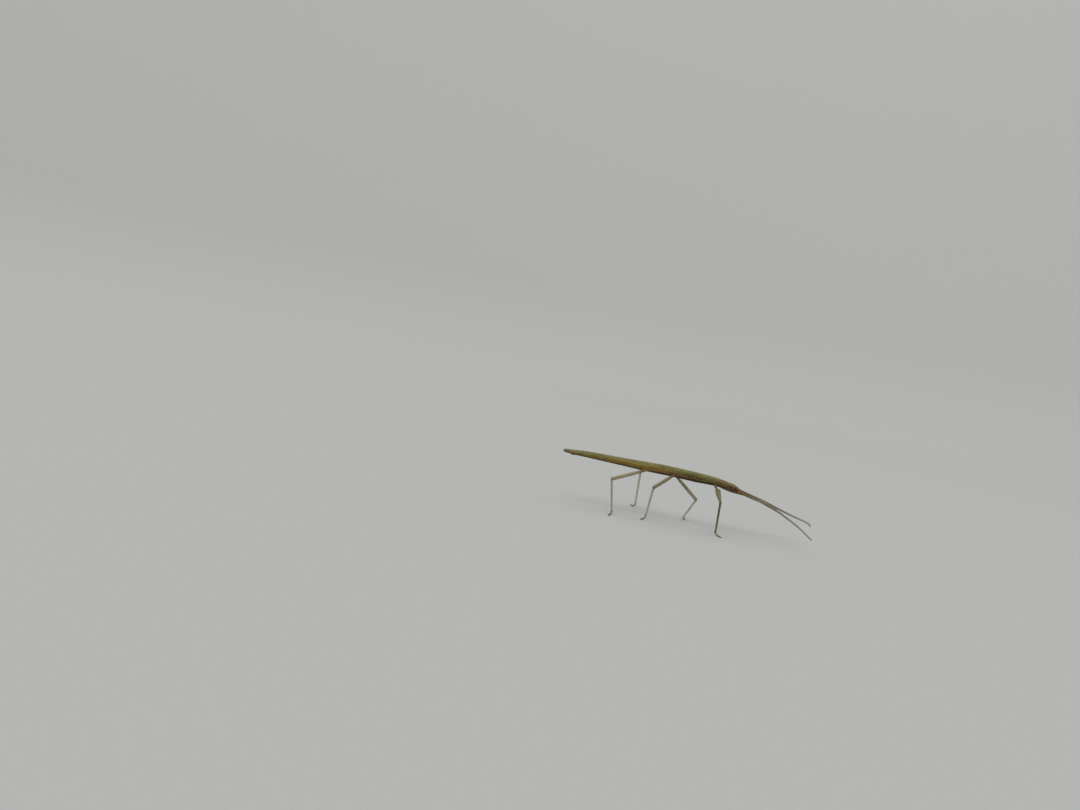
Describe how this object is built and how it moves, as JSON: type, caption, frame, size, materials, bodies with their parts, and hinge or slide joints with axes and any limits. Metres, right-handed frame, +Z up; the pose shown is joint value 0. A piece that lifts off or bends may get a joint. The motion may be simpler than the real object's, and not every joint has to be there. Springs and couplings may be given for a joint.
{
  "type": "stick insect",
  "caption": "Life-size still model of a slender young stick insect, standing on its feet with one foreleg and both feelers held out in front.",
  "frame": {"origin": "on the floor, under the middle of the insect's box in plan", "axes": "+X forward along the trunk towards the head, +Y to the insect's left, +Z up from the floor that its feet stand on"},
  "size_m": [0.0545, 0.0184, 0.0114],
  "materials": {
    "trunk": "dull olive cuticle with yellow-brown streaks and fine dark granules",
    "head": "dull olive-brown cuticle, darker below",
    "eye": "smooth glossy eye, light brown with a dark rim",
    "feeler": "brown at the root, grey-olive towards the tip, finely haired",
    "thigh": "dull olive to pale brown, with faint darker bands and keels",
    "shin": "dull pale grey-brown",
    "foot": "dull brown with dark claws",
    "mouth": "dark brown, slightly glossy"
  },
  "bodies": {
    "root": {"abdomen_1": "trunk", "abdomen_10": "trunk", "abdomen_2": "trunk", "abdomen_3": "trunk", "abdomen_4": "trunk", "abdomen_5": "trunk", "abdomen_6": "trunk", "abdomen_7": "trunk", "abdomen_8": "trunk", "abdomen_9": "trunk", "antenna_left_inner": "feeler", "antenna_left_outer": "feeler", "antenna_left_scape": "feeler", "antenna_right_inner": "feeler", "antenna_right_outer": "feeler", "antenna_right_scape": "feeler", "cercus_left": "trunk", "cercus_right": "trunk", "coxa_left_fore": "thigh", "coxa_left_hind": "thigh", "coxa_left_mid": "thigh", "coxa_right_fore": "thigh", "coxa_right_hind": "thigh", "coxa_right_mid": "thigh", "eye_left": "eye", "eye_right": "eye", "femur_left_fore": "thigh", "femur_left_hind": "thigh", "femur_left_mid": "thigh", "femur_right_fore": "thigh", "femur_right_hind": "thigh", "femur_right_mid": "thigh", "head": "head", "mesothorax": "trunk", "metathorax": "trunk", "mouthparts": "mouth", "palp_left": "mouth", "palp_right": "mouth", "prothorax": "trunk", "tarsus_left_fore": "foot", "tarsus_left_hind": "foot", "tarsus_left_mid": "foot", "tarsus_right_fore": "foot", "tarsus_right_hind": "foot", "tarsus_right_mid": "foot", "tibia_left_fore": "shin", "tibia_left_hind": "shin", "tibia_left_mid": "shin", "tibia_right_fore": "shin", "tibia_right_hind": "shin", "tibia_right_mid": "shin"}
  },
  "joints": []
}
